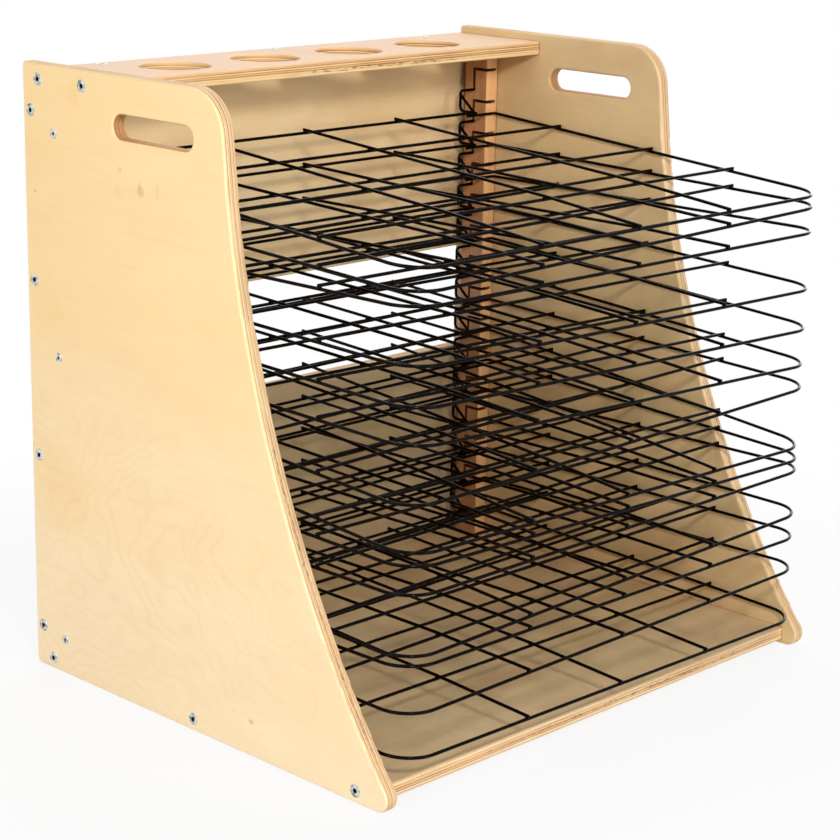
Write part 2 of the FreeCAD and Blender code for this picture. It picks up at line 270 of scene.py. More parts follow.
def noise(tree, vector, scale, detail=2.0, roughness=0.5):
    """Smooth noise, about 0.5 on average."""
    inputs = {"Vector": vector, "Scale": scale, "Detail": detail, "Roughness": roughness}
    return add(tree, "ShaderNodeTexNoise", inputs, noise_dimensions="3D").outputs[0]


def stretched(tree, place, scales, detail=2.0, roughness=0.5):
    """Noise with its own scale along each of three axes."""
    return noise(tree, vector_calc(tree, "MULTIPLY", place, scales), 1.0, detail, roughness)


def between(tree, value, low, high, low_result=0.0, high_result=1.0, smooth=False):
    """Carries a value from one range to another, held at the ends."""
    inputs = {"Value": value, "From Min": low, "From Max": high,
              "To Min": low_result, "To Max": high_result}
    kind = "SMOOTHSTEP" if smooth else "LINEAR"
    node = add(tree, "ShaderNodeMapRange", inputs, interpolation_type=kind, clamp=True)
    return node.outputs[0]


def ramp(tree, value, stops):
    """Colour ramp from a list of places and colours."""
    node = add(tree, "ShaderNodeValToRGB", {0: value})
    elements = node.color_ramp.elements
    while len(elements) < len(stops):
        elements.new(1.0)
    for element, (place, _) in zip(elements, stops):
        element.position = place
    for element, (_, colour) in zip(elements, stops):
        element.color = (*colour, 1.0)
    return node.outputs[0]


def object_place(tree):
    """Where a point is on the object as it rests."""
    return add(tree, "ShaderNodeTexCoord").outputs["Object"]


def seen_directly(tree):
    """1 for what the camera sees, also in a mirror or through glass, else 0."""
    rays = add(tree, "ShaderNodeLightPath").outputs
    return calc(tree, "MAXIMUM", rays["Is Camera Ray"],
                calc(tree, "MAXIMUM", rays["Is Glossy Ray"], rays["Is Transmission Ray"]))


def new_material(name):
    """Empty material with its Principled shader."""
    material = bpy.data.materials.new(name)
    material.use_nodes = True
    tree = material.node_tree
    tree.nodes.clear()
    shader = add(tree, "ShaderNodeBsdfPrincipled")
    output = add(tree, "ShaderNodeOutputMaterial")
    tree.links.new(shader.outputs[0], output.inputs[0])
    return material, tree, shader


def link_bump(tree, shader, height, distance, strength):
    """Gives a finish relief, a distance deep where the height is 1."""
    bump = add(tree, "ShaderNodeBump",
               {"Height": height, "Distance": distance, "Strength": strength})
    tree.links.new(bump.outputs[0], shader.inputs["Normal"])


def dress(names, material):
    """Puts a finish on CAD nodes in place of the one they came with."""
    for name in names:
        slots = NODES[name].material_slots
        if not slots:
            raise RuntimeError("no material slot on " + name)
        for place in slots:
            place.material = material


def settings(name):
    """One group of the scene's settings."""
    return getattr(bpy.context.scene, "drying_rack_" + name)


# ---- Birch plywood ----

# Plies from the outer face in: far edge, colour, strength of the glue line there
SIDE_PLIES = (
    (0.09, "pale", 0.0), (0.19, "tan", 0.8), (0.33, "pale", 0.4), (0.49, "ruddy", 1.0),
    (0.60, "pale", 0.3), (0.73, "tan", 0.9), (0.82, "pale", 0.3), (1.0, "tan", 0.0),
)
SHELF_PLIES = (
    (0.14, "pale", 0.2), (0.27, "tan", 1.0), (0.42, "pale", 0.8), (0.58, "ruddy", 1.0),
    (0.74, "pale", 0.4), (1.0, "pale", 0.0),
)
BOARD_PLIES = (
    (0.11, "tan", 0.0), (0.27, "pale", 0.9), (0.49, "tan", 1.0), (0.67, "ruddy", 0.8),
    (0.84, "pale", 0.35), (1.0, "tan", 0.0),
)
PLY_SOFTNESS = 0.2      # share of a ply over which it blends into the next
RUDDY = 0.86            # how much darker the ruddy plies are than the tan ones
STRAY_REACH = 0.2       # how far a ply strays at the most, as a share of the sheet
END_GRAIN_BANDS = 5.0   # bands in a sheet, of which every other one shows its end grain

# Half width of a glue line and the reach of its soft edge, as shares of the sheet
GLUE_CORE = 0.018
GLUE_REACH = 0.046

# Where the face veneer gives way to the cut plies, from the middle of the sheet
VENEER_FROM = 0.425
VENEER_FULL = 0.44

# Stretches where the saw tore a ply: middle and half length along the grain, then
# the place of the ply in the sheet
SIDE_TORN = (-0.165, 0.09, 0.45)
SHELF_TORN = (0.06, 0.14, 0.68)
BOARD_TORN = (0.05, 0.25, 0.5)
TORN_REACH = 0.17    # half width of the torn band in the sheet
TORN_CORE = 0.06     # half width over which it is fully torn

# Growth rings: how many to a metre across the grain, and how many more they wander
RINGS_PER_METRE = 9.0
RING_WANDER = 24.0

# Middle and half size, in Y and Z, of the hand holds in the side panels
HAND_HOLD = (0.0651, 0.5905, 0.062, 0.015)
HOLD_MARGIN = 0.002   # over which its painted shade fades out

# Marks on the outer faces of the side panels: middle in Y and Z, half their size,
# tint and strength
AGED = (0.0, 0.75, 3.0, 0.75, "honey", 1.0)   # the upper part has gone yellow
LEFT_MARKS = (
    AGED,
    (0.233, 0.376, 0.040, 0.030, "stain", 0.25),
    (0.215, 0.190, 0.050, 0.060, "stain", 0.35),
    (0.190, 0.617, 0.020, 0.020, "honey", 0.7),
    (0.084, 0.5325, 0.0058, 0.0062, "smudge", 0.45),
    (0.0845, 0.5375, 0.0030, 0.0045, "smudge", 0.30),
    (0.114, 0.549, 0.0030, 0.0032, "smudge", 0.32),
    (0.120, 0.527, 0.011, 0.008, "smudge", 0.13),
    (0.058, 0.537, 0.0040, 0.011, "smudge", 0.18),
    (0.252, 0.511, 0.0022, 0.0022, "knot", 0.35),
)
MARK_EDGE = (0.35, 1.05)   # where a mark starts to fade and ends, in half sizes
MARK_UNEVEN = 2.4          # how uneven the edge of a small mark is
SMALL_MARK = 0.02          # marks with a larger half height have a smoother edge

# Thin dark line where a sheet meets a side: where it starts and where it is full
SHEET_JOINT = (0.0014, 0.0005)

# How far one step of a sheet's seed moves its grain
SEED_STEP = (3.7, 1.9, 0.13)

# Depth at which the colours and the figure of one face give way to the other's
FACES_MEET = (0.45, 0.55)

# How deep the relief of each finish is, in metres
PLY_RELIEF = 0.00025
BEECH_RELIEF = 0.00015
FINE_RELIEF = 0.00003   # scratched zinc and the peel of the coat


def scaled(colour, share):
    """Colour made darker by a share below 1, or brighter by one above."""
    return tuple(value * share for value in colour)


def ply_ramp(tree, layer, plies):
    """Colours of the plies, each with soft edges."""
    wood = settings("plywood")
    colours = {"pale": tuple(wood.pale_ply), "tan": tuple(wood.tan_ply),
               "ruddy": scaled(wood.tan_ply, RUDDY)}
    stops = []
    start = 0.0
    for far_edge, name, _ in plies:
        soft = (far_edge - start) * PLY_SOFTNESS
        stops.append((start + soft, colours[name]))
        stops.append((far_edge - soft, colours[name]))
        start = far_edge
    return ramp(tree, layer, stops)


def glue_ramp(tree, layer, plies):
    """Strength of the glue lines between the plies."""
    stops = [(0.0, (0.0,) * 3)]
    for far_edge, _, glue in plies:
        if glue:
            for step, share in ((-GLUE_REACH, 0.0), (-GLUE_CORE, glue),
                                (GLUE_CORE, glue), (GLUE_REACH, 0.0)):
                stops.append((far_edge + step, (share,) * 3))
    return ramp(tree, layer, stops)


def mark_share(tree, along, across, warp, place, strength):
    """Share of one mark: full in its middle, with an uneven soft edge."""
    at_along, at_across, half_along, half_across = place
    first = calc(tree, "MULTIPLY_ADD", along, 1 / half_along, -at_along / half_along)
    second = calc(tree, "MULTIPLY_ADD", across, 1 / half_across, -at_across / half_across)
    offset = add(tree, "ShaderNodeCombineXYZ", {0: first, 1: second}).outputs[0]
    reach = length_of(tree, offset)
    uneven = MARK_UNEVEN * min(1.0, SMALL_MARK / half_across)
    edge = calc(tree, "MULTIPLY_ADD", warp, uneven, calc(tree, "SUBTRACT", reach, uneven / 2))
    return between(tree, edge, *MARK_EDGE, strength, 0.0, True)


def inside(tree, value, middle, half):
    """1 where the value is within half of the middle, else 0."""
    away = away_from(tree, value, middle)
    return between(tree, away, half, half + HOLD_MARGIN, 1.0, 0.0)


def round_spots(tree, place, scales, channel, reach, strength, rarity):
    """Share of small round spots in a few cells of an uneven grid.

    reach holds the distances at which a spot starts to fade and ends. A cell has a
    spot where the channel of its random colour is above rarity.
    """
    cells = add(tree, "ShaderNodeTexVoronoi", {
        "Vector": vector_calc(tree, "MULTIPLY", place, scales), "Scale": 1.0},
        feature="F1", voronoi_dimensions="3D").outputs
    kind = add(tree, "ShaderNodeSeparateColor", {0: cells["Color"]}).outputs[channel]
    core = between(tree, cells["Distance"], *reach, strength, 0.0)
    return calc(tree, "MULTIPLY", core, calc(tree, "GREATER_THAN", kind, rarity))


def growth_rings(tree, spot, figured, strength):
    """Share of the growth rings, which wander like the height lines of a map."""
    drift = stretched(tree, spot, (2.2, 6.0, 6.0), detail=1.0)
    field = stretched(tree, spot, (4.4, 5.2, 5.2), detail=3.0, roughness=0.45)
    count = calc(tree, "MULTIPLY_ADD", vector_parts(tree, spot)["Y"], RINGS_PER_METRE,
                 calc(tree, "MULTIPLY", field, RING_WANDER))
    line = calc(tree, "SINE", calc(tree, "MULTIPLY", count, math.tau))
    here = calc(tree, "MULTIPLY", figured, between(tree, drift, 0.4, 0.56, 0.3, 1.0))
    return calc(tree, "MULTIPLY", between(tree, line, 0.2, 1.0, 0.0, strength, True), here)


def veneer(tree, spot, ground, fine, patchy_and_shadowed, figured):
    """Colour of the face veneer: clouds, patches that are partly painted shadow, rings, grain,
    pores and pin knots.
    """
    wood = settings("plywood")
    cloud = stretched(tree, spot, (2.6, 7.0, 7.0))
    mottle = stretched(tree, spot, (16.0, 40.0, 40.0), detail=3.0)
    patches = stretched(tree, spot, (7.0, 13.0, 13.0), detail=3.0, roughness=0.6)
    pores = stretched(tree, spot, (70.0, 1500.0, 1500.0))
    colour = tinted(tree, between(tree, cloud, 0.3, 0.7, 0.0, wood.cloud * 0.7, True), ground,
                    wood.honey)
    colour = tinted(tree, between(tree, mottle, 0.4, 0.8, 0.0, wood.cloud * 0.35), colour,
                    wood.mottle)
    # Partly painted shadow: the patches are strongest inside the case
    patch_and_shadow_share = between(tree, patches, 0.4, 0.7, 0.0, wood.cloud, True)
    colour = tinted(tree, calc(tree, "MULTIPLY", patch_and_shadow_share, patchy_and_shadowed), colour, wood.patch_and_shadow)
    colour = tinted(tree, growth_rings(tree, spot, figured, wood.rings), colour, wood.ring)
    colour = tinted(tree, between(tree, fine, 0.5, 0.8, 0.0, wood.grain * 0.7), colour,
                    wood.ring)
    colour = tinted(tree, between(tree, pores, 0.58, 0.8, 0.0, wood.grain * 0.3), colour,
                    wood.smudge)
    knots = round_spots(tree, spot, (6.0, 9.0, 9.0), 0, (0.012, 0.034), 0.4, 0.7)
    return tinted(tree, knots, colour, wood.knot)


def torn_ply(tree, spot, layer, along, torn):
    """Share of the dashes left where the saw tore a ply."""
    middle, half, place = torn
    stretch = between(tree, away_from(tree, along, middle), half, half * 0.6)
    band = between(tree, away_from(tree, layer, place), TORN_REACH, TORN_CORE)
    dashes = stretched(tree, spot, (130.0, 130.0, 700.0), detail=3.0, roughness=0.65)
    return calc(tree, "MULTIPLY", stretch,
                calc(tree, "MULTIPLY", band, between(tree, dashes, 0.5, 0.64, 0.0, 0.9)))


def cut_plies(tree, spot, layer, plies, tint, torn, along):
    """Colour, relief and streaks of a cut edge: plies, glue lines, end grain and voids."""
    wood = settings("plywood")
    colour = ply_ramp(tree, layer, plies)
    tone = stretched(tree, spot, (7.0, 7.0, 260.0))
    colour = mix_colour(tree, between(tree, tone, 0.42, 0.7, 0.0, 0.55), colour, wood.tan_ply)
    bright = stretched(tree, spot, (9.0, 9.0, 190.0), detail=1.0)
    colour = mix_colour(tree, between(tree, bright, 0.55, 0.75, 0.0, 0.6), colour, wood.pale_ply)
    streaks = stretched(tree, spot, (24.0, 24.0, 1150.0))
    colour = mix_colour(tree, between(tree, streaks, 0.5, 0.74, 0.0, 0.5), colour,
                        scaled(wood.tan_ply, 0.72))
    fade = stretched(tree, spot, (11.0, 11.0, 40.0))
    lines = calc(tree, "MULTIPLY", glue_ramp(tree, layer, plies),
                 between(tree, fade, 0.36, 0.62, 0.4, 1.0))
    colour = mix_colour(tree, lines, colour, wood.glue)

    # End grain in every other ply, and voids
    specks = noise(tree, spot, 950.0, 2.0, 0.6)
    banding = calc(tree, "PINGPONG", calc(tree, "MULTIPLY", layer, END_GRAIN_BANDS), 1.0)
    speck_share = calc(tree, "MULTIPLY", between(tree, specks, 0.52, 0.75, 0.0, 0.4),
                       between(tree, banding, 0.45, 0.6))
    colour = mix_colour(tree, speck_share, colour, scaled(wood.glue, 1.2))
    voids = round_spots(tree, spot, (36.0, 36.0, 330.0), 1, (0.1, 0.17), 1.0, 0.92)
    colour = mix_colour(tree, calc(tree, "MULTIPLY", voids, 0.7), colour, scaled(wood.glue, 0.4))
    hollow = calc(tree, "ADD", speck_share, calc(tree, "MULTIPLY", voids, 2.0))
    if torn:
        dashes = torn_ply(tree, spot, layer, along, torn)
        colour = mix_colour(tree, dashes, colour, scaled(wood.glue, 0.75))
        hollow = calc(tree, "ADD", hollow, dashes)
    if tint:
        colour = tinted(tree, 1.0, colour, tint)
    relief = calc(tree, "SUBTRACT", calc(tree, "MULTIPLY", streaks, 0.5), hollow)
    return colour, relief, streaks


def plywood(name, faces, patches, axes, faces_at, plies, seed, marks=(), tint=None, torn=None,
            joint=0.0, hold=None):
    """Birch plywood whose plies are cut wherever the sheet is shaped.

    faces holds the colours of the outer and inner faces, patches the strength of the
    veneer's patches on each face, which are partly painted shadow, and faces_at their
    places on the thickness axis. axes names the grain, cross and thickness axes. seed
    moves the grain and marks are for the outer face.
    tint and torn are for the cut plies, joint is how far in X the sheet reaches to a
    side, and hold is the place of a hand hold, whose walls get painted shade.
    """
    wood = settings("plywood")
    material, tree, shader = new_material(name)
    parts = vector_parts(tree, object_place(tree))
    along, across, through = (parts[axis] for axis in axes)
    turned = add(tree, "ShaderNodeCombineXYZ", {0: along, 1: across, 2: through}).outputs[0]
    spot = vector_calc(tree, "ADD", turned, tuple(seed * step for step in SEED_STEP))
    depth = add(tree, "ShaderNodeMapRange", {
        "Value": through, "From Min": faces_at[0], "From Max": faces_at[1]},
        clamp=False).outputs[0]

    # The two faces of the sheet, with the marks on the outer one
    inner = between(tree, depth, *FACES_MEET)
    ground = mix_colour(tree, inner, faces[0], faces[1])
    fine = stretched(tree, spot, (9.0, 240.0, 240.0), detail=4.0, roughness=0.6)
    patchy_and_shadowed = between(tree, depth, *FACES_MEET, *patches)
    figured = between(tree, across, 0.2, 0.4, 1.0, 0.15, True)
    face_colour = veneer(tree, spot, ground, fine, patchy_and_shadowed, figured)
    outer = calc(tree, "SUBTRACT", 1.0, inner)
    warp = stretched(tree, spot, (40.0, 60.0, 60.0))
    for *place, tint_name, strength in marks:
        share = mark_share(tree, along, across, warp, place, strength)
        share = calc(tree, "MULTIPLY", share, outer)
        face_colour = tinted(tree, share, face_colour, getattr(wood, tint_name))

    # The cut edges, where the plies stray a little from their places
    stray = stretched(tree, spot, (9.0, 9.0, 3.0), roughness=0.6)
    stray_by = calc(tree, "MULTIPLY", calc(tree, "SUBTRACT", stray, 0.5),
                    wood.wander * STRAY_REACH)
    layer = calc(tree, "ADD", depth, stray_by)
    edge_colour, edge_relief, streaks = cut_plies(tree, spot, layer, plies, tint, torn, along)
    # Painted shade on the walls of the hand hold
    if hold:
        share = calc(tree, "MULTIPLY", inside(tree, along, hold[0], hold[2]),
                     inside(tree, across, hold[1], hold[3]))
        edge_colour = tinted(tree, share, edge_colour, wood.hold_shade)

    # The face veneer is the outermost ply on both sides
    from_middle = away_from(tree, layer, 0.5)
    is_edge = between(tree, from_middle, VENEER_FROM, VENEER_FULL, 1.0, 0.0)
    colour = mix_colour(tree, is_edge, face_colour, edge_colour)
    if joint:
        out = calc(tree, "ABSOLUTE", parts["X"])
        near = between(tree, out, joint - SHEET_JOINT[0], joint - SHEET_JOINT[1], 0.0, 0.85)
        colour = tinted(tree, near, colour, wood.joint)
    tree.links.new(colour, shader.inputs["Base Color"])

    sheen = between(tree, fine, 0.3, 0.7, 0.36, 0.48)
    edge_rough = between(tree, streaks, 0.3, 0.7, 0.5, 0.7)
    rough = mix_number(tree, is_edge, sheen, edge_rough)
    tree.links.new(rough, shader.inputs["Roughness"])
    relief = mix_number(tree, is_edge, calc(tree, "MULTIPLY", fine, 0.12), edge_relief)
    link_bump(tree, shader, relief, PLY_RELIEF, 0.8)
    return material


def sheet_faces(node, axis, first):
    """Where the two faces of a sheet are, the named one first."""
    low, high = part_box(node)
    index = "XYZ".index(axis)
    places = [low[index], high[index]]
    if first == "high":
        places.reverse()
    return places


class DRYRACK_OT_side_panels(bpy.types.Operator):
    """Finish the two plywood side panels"""
    bl_idname = "dryrack.side_panels"
    bl_label = "Side Panels"

    def execute(self, context):
        wood = settings("plywood")
        # The inner faces carry painted shade, a darker copy of the outer veneer
        faces = (tuple(wood.side_face), tuple(wood.shaded_inner_face))
        for side, first, seed, marks in (("left", "low", 1.0, LEFT_MARKS),
                                         ("right", "high", 2.0, (AGED,))):
            node = "side_panel_" + side
            made = plywood("Birch plywood, %s side" % side, faces, (0.12, 0.6), "YZX",
                           sheet_faces(node, "X", first), SIDE_PLIES, seed, marks,
                           torn=SIDE_TORN, hold=HAND_HOLD)
            dress([node], made)
        return {"FINISHED"}


class DRYRACK_OT_top_shelf(bpy.types.Operator):
    """Finish the shelf with the pot holes"""
    bl_idname = "dryrack.top_shelf"
    bl_label = "Top Shelf"

    def execute(self, context):
        wood = settings("plywood")
        faces = (tuple(wood.shelf_face), tuple(wood.upper_back))
        made = plywood("Birch plywood, shelf", faces, (0.2, 0.6), "XYZ",
                       sheet_faces("top_shelf", "Z", "high"), SHELF_PLIES, 3.0,
                       tint=tuple(wood.shelf_ply), torn=SHELF_TORN,
                       joint=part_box("top_shelf")[1][0])
        dress(["top_shelf"], made)
        return {"FINISHED"}


class DRYRACK_OT_bottom_board(bpy.types.Operator):
    """Finish the board under the racks"""
    bl_idname = "dryrack.bottom_board"
    bl_label = "Bottom Board"

    def execute(self, context):
        face = tuple(settings("plywood").board_face)
        made = plywood("Birch plywood, board", (face, face), (0.9, 0.9), "XYZ",
                       sheet_faces("bottom_board", "Z", "high"), BOARD_PLIES, 4.0,
                       torn=BOARD_TORN, joint=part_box("bottom_board")[1][0])
        dress(["bottom_board"], made)
        return {"FINISHED"}


class DRYRACK_OT_back_panels(bpy.types.Operator):
    """Finish the two back panels"""
    bl_idname = "dryrack.back_panels"
    bl_label = "Back Panels"

    def execute(self, context):
        wood = settings("plywood")
        # The lower back's darker colour is painted shade
        for level, face, seed in (("upper", wood.upper_back, 5.0),
                                  ("lower", wood.shaded_lower_back, 6.0)):
            faces = (tuple(face), tuple(wood.side_face))
            node = "back_panel_" + level
            made = plywood("Birch plywood, %s back" % level, faces, (0.6, 0.3), "XZY",
                           sheet_faces(node, "Y", "low"), BOARD_PLIES, seed,
                           joint=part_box(node)[1][0])
            dress([node], made)
        return {"FINISHED"}


# ---- Beech, zinc and the black coat ----

# Behind the front of an upright: where its painted light ends and where it is full
LIT_FRONT_EDGE = (0.0009, 0.0002)

# Painted shadow in the gap where an upright meets a panel: where it starts and where it is full
UPRIGHT_GAP_SHADE = (0.0016, 0.0006)

# Below the outer faces: where the painted shade in a screw's socket starts and where it is full
SOCKET_SHADE_DEPTH = (0.0006, 0.0016)

COAT_SPECULAR = 0.05   # the coat shines much less than plain gloss paint


def beech():
    """Oiled beech with short dark ray flecks, painted light in front, and painted shade at the
    sides, in the slots and beside the panel.
    """
    look = settings("upright")
    material, tree, shader = new_material("Oiled beech")
    place = object_place(tree)
    parts = vector_parts(tree, place)
    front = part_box("upright_right")[0][1]
    # Painted light on the front faces and painted shade on the sides
    lit_front = between(tree, parts["Y"], front + LIT_FRONT_EDGE[0], front + LIT_FRONT_EDGE[1])
    ground = mix_colour(tree, lit_front, look.shaded_sides, look.wood)
    bands = stretched(tree, place, (120.0, 120.0, 5.0), 3.0, 0.6)
    fibres = stretched(tree, place, (900.0, 900.0, 30.0), 3.0, 0.6)
    flecks = stretched(tree, place, (1300.0, 1300.0, 240.0), 1.0)
    colour = tinted(tree, between(tree, bands, 0.35, 0.7, 0.0, 0.6), ground, look.band)
    colour = tinted(tree, between(tree, fibres, 0.45, 0.75, 0.0, 0.5), colour, look.band)
    fleck_share = between(tree, flecks, 0.62, 0.7, 0.0, 0.6)
    colour = tinted(tree, fleck_share, colour, look.fleck)

    # Painted shade on the walls of the slots, which don't face left or right
    normal = add(tree, "ShaderNodeTexCoord").outputs["Normal"]
    sideways = calc(tree, "ABSOLUTE", vector_parts(tree, normal)["X"])
    slot_wall_shade = calc(tree, "MULTIPLY", calc(tree, "SUBTRACT", 1.0, lit_front),
                     calc(tree, "LESS_THAN", sideways, 0.5))
    colour = tinted(tree, slot_wall_shade, colour, look.slot)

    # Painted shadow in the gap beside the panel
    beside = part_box("upright_right")[1][0]
    out = calc(tree, "ABSOLUTE", parts["X"])
    joint = between(tree, out, beside - UPRIGHT_GAP_SHADE[0], beside - UPRIGHT_GAP_SHADE[1])
    colour = tinted(tree, joint, colour, look.joint)
    tree.links.new(colour, shader.inputs["Base Color"])
    rough = between(tree, fibres, 0.3, 0.7, look.roughness - 0.07, look.roughness + 0.1)
    tree.links.new(rough, shader.inputs["Roughness"])
    height = calc(tree, "SUBTRACT", calc(tree, "MULTIPLY", fibres, 0.6), fleck_share)
    link_bump(tree, shader, height, BEECH_RELIEF, 0.7)
    return material


def zinc_plate():
    """Bright zinc with dull patches, fine scratches and painted shade down in the sockets."""
    look = settings("screw")
    material, tree, shader = new_material("Bright zinc plate")
    place = object_place(tree)
    patches = noise(tree, place, 230.0, 2.0, 0.6)
    scratches = stretched(tree, place, (900.0, 6000.0, 1400.0))
    colour = mix_colour(tree, between(tree, patches, 0.42, 0.66), look.zinc, look.tarnish)

    # How deep a place is below the outer face of the side panels or of the shelf
    parts = vector_parts(tree, place)
    from_side = calc(tree, "SUBTRACT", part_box("side_panel_right")[1][0],
                     calc(tree, "ABSOLUTE", parts["X"]))
    from_top = calc(tree, "SUBTRACT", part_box("top_shelf")[1][2], parts["Z"])
    depth = calc(tree, "MINIMUM", from_side, from_top)
    # Painted shade down in the sockets
    colour = tinted(tree, between(tree, depth, *SOCKET_SHADE_DEPTH), colour, look.socket)
    tree.links.new(colour, shader.inputs["Base Color"])
    shader.inputs["Metallic"].default_value = 1.0
    rough = between(tree, patches, 0.3, 0.7, 0.28, 0.42)
    tree.links.new(rough, shader.inputs["Roughness"])
    link_bump(tree, shader, scratches, FINE_RELIEF, 0.6)
    return material


def black_coat():
    """Black powder coat on wire: slight orange peel and rubbed grey patches."""
    look = settings("rack")
    found = bpy.data.materials.get("Black wire coat")
    if found:
        return found
    material, tree, shader = new_material("Black wire coat")
    place = object_place(tree)
    peel = noise(tree, place, 1500.0)
    clouds = noise(tree, place, 45.0, 3.0, 0.6)
    rubs = noise(tree, place, 320.0, 3.0, 0.65)
    rub_share = calc(tree, "MULTIPLY", between(tree, rubs, 0.6, 0.74),
                     between(tree, clouds, 0.5, 0.7, 0.0, 0.3))
    colour = mix_colour(tree, rub_share, look.coat, look.rubbed)
    tree.links.new(colour, shader.inputs["Base Color"])
    rough = between(tree, clouds, 0.3, 0.7, 0.05, 0.11)
    tree.links.new(calc(tree, "ADD", rough, calc(tree, "MULTIPLY", rub_share, 0.2)),
                   shader.inputs["Roughness"])
    shader.inputs["Specular IOR Level"].default_value = COAT_SPECULAR
    link_bump(tree, shader, peel, FINE_RELIEF, 0.4)
    return material


class DRYRACK_OT_uprights(bpy.types.Operator):
    """Finish the slotted beech uprights"""
    bl_idname = "dryrack.uprights"
    bl_label = "Uprights"

    def execute(self, context):
        dress(["upright_left", "upright_right"], beech())
        return {"FINISHED"}


class DRYRACK_OT_screws(bpy.types.Operator):
    """Finish the socket screws"""
    bl_idname = "dryrack.screws"
    bl_label = "Screws"

    def execute(self, context):
        dress([name for name in NODES if name.endswith("_screws")], zinc_plate())
        return {"FINISHED"}


class DRYRACK_OT_racks(bpy.types.Operator):
    """Finish the wires of the fourteen racks"""
    bl_idname = "dryrack.racks"
    bl_label = "Racks"

    def execute(self, context):
        wires = [name for name in NODES if name.startswith("rack_")]
        dress(wires, black_coat())
        return {"FINISHED"}


# ---- Welds and wire ends ----

# Height of a weld in layers of wire. The hoop is layer 0, and the wires across the rack
# are layer 1. The long wires are layer 2 and come down to layer 1 at the front.
ON_HOOP = 0.5
ON_CROSS = 1.5

WELD_SPREAD = 0.12   # how much the beads differ in size
DOME_SEGMENTS = 12
DOME_RINGS = 6
SHORT_STEP = 0.01    # along a wire, to find which way it runs


class HangingRack:
    """Places on one rack as it hangs, by X, run from the rear and layer of wire."""

    def __init__(self, name):
        look = settings("rack")
        number = RACKS.index(name)
        self.look = look
        self.droops = (math.radians(LEFT_DROOP[number]), math.radians(RIGHT_DROOP[number]))
        self.rear = PIVOTS[name] + Vector((0, -look.rear_ahead, -look.rear_below))
        self.long_x = (-look.long_spacing, 0.0, look.long_spacing)

    def place(self, x, run, layer):
        """Where a point of the rack is, as its two sides droop."""
        ends = []
        for side, droop in zip((-1, 1), self.droops):
            out = Vector((0, -math.cos(droop), -math.sin(droop)))
            up = Vector((0, -math.sin(droop), math.cos(droop)))
            corner = self.rear + Vector((side * self.look.half_width, 0, 0))
            ends.append(corner + out * run + up * layer * self.look.level_step)
        share = (x + self.look.half_width) / (2 * self.look.half_width)
        return ends[0].lerp(ends[1], share)

    def facing(self, x, run, step):
        """Direction of a small step in X and run."""
        start = self.place(x, run, 0)
        return (self.place(x + step[0], run + step[1], 0) - start).normalized()

    def way_up(self, x, run):
        """Step from the lowest layer of wire to the top one."""
        return self.place(x, run, 2) - self.place(x, run, 0)


def weld_spots(rack):
    """Places of a rack's weld beads, each with the way up of the rack there."""
    look = rack.look
    flat = []
    for run in look.cross_runs:
        flat += [(side * look.half_width, run, ON_HOOP) for side in (-1, 1)]
        flat += [(x, run, ON_CROSS) for x in rack.long_x]
    flat += [(x, 0.0, ON_CROSS) for x in rack.long_x]
    flat += [(x, look.depth, ON_HOOP) for x in rack.long_x]
    flat += [(side * look.foot_x, 0.0, ON_HOOP) for side in (-1, 1)]
    return [(rack.place(x, run, layer), rack.way_up(x, run)) for x, run, layer in flat]


def end_spots(rack):
    """Places of a rack's cut wire ends, each with the way the wire points."""
    look = rack.look
    front = look.depth + look.wire_radius
    found = []
    for run in look.cross_runs:
        for side in (-1, 1):
            x = side * (look.half_width + look.wire_radius)
            found.append((rack.place(x, run, 1), rack.facing(x, run, (side * SHORT_STEP, 0))))
    for x in rack.long_x:
        found.append((rack.place(x, -look.long_past, 2), rack.facing(x, 0, (0, -SHORT_STEP))))
        found.append((rack.place(x, front, 1), rack.facing(x, front, (0, SHORT_STEP))))
    return found


def bead_tree():
    """Geometry node tree that sets a small dome on every marked place."""
    found = bpy.data.node_groups.get("Wire beads")
    if found:
        return found
    tree = bpy.data.node_groups.new("Wire beads", "GeometryNodeTree")
    tree.is_modifier = True
    for name, way, kind in (
            ("Places", "INPUT", "Geometry"), ("Half width", "INPUT", "Float"),
            ("Half height", "INPUT", "Float"), ("Spread", "INPUT", "Float"),
            ("Seed", "INPUT", "Int"), ("Finish", "INPUT", "Material"),
            ("Beads", "OUTPUT", "Geometry")):
        tree.interface.new_socket(name, in_out=way, socket_type="NodeSocket" + kind)
    given = add(tree, "NodeGroupInput").outputs
    dome = add(tree, "GeometryNodeMeshUVSphere",
               {"Segments": DOME_SEGMENTS, "Rings": DOME_RINGS, "Radius": 1.0})
    soft = add(tree, "GeometryNodeSetShadeSmooth", {"Geometry": dome.outputs["Mesh"]})
    facing = add(tree, "GeometryNodeInputNamedAttribute", {"Name": "facing"},
                 data_type="FLOAT_VECTOR")
    turn = add(tree, "FunctionNodeAlignRotationToVector", {"Vector": facing.outputs[0]},
               axis="Z")
    least = calc(tree, "SUBTRACT", 1.0, given["Spread"])
    most = calc(tree, "ADD", 1.0, given["Spread"])
    varied = add(tree, "FunctionNodeRandomValue",
                 {"Min": least, "Max": most, "Seed": given["Seed"]}, data_type="FLOAT")
    shape = add(tree, "ShaderNodeCombineXYZ",
                {0: given["Half width"], 1: given["Half width"], 2: given["Half height"]})
    size = add(tree, "ShaderNodeVectorMath",
               {0: shape.outputs[0], "Scale": pick(varied.outputs, "Value")}, operation="SCALE")
    beads = add(tree, "GeometryNodeInstanceOnPoints", {
        "Points": given["Places"], "Instance": soft.outputs[0],
        "Rotation": turn.outputs[0], "Scale": size.outputs[0]})
    real = add(tree, "GeometryNodeRealizeInstances", {0: beads.outputs[0]})
    finished = add(tree, "GeometryNodeSetMaterial",
                   {"Geometry": real.outputs[0], "Material": given["Finish"]})
    add(tree, "NodeGroupOutput", {0: finished.outputs[0]})
    return tree


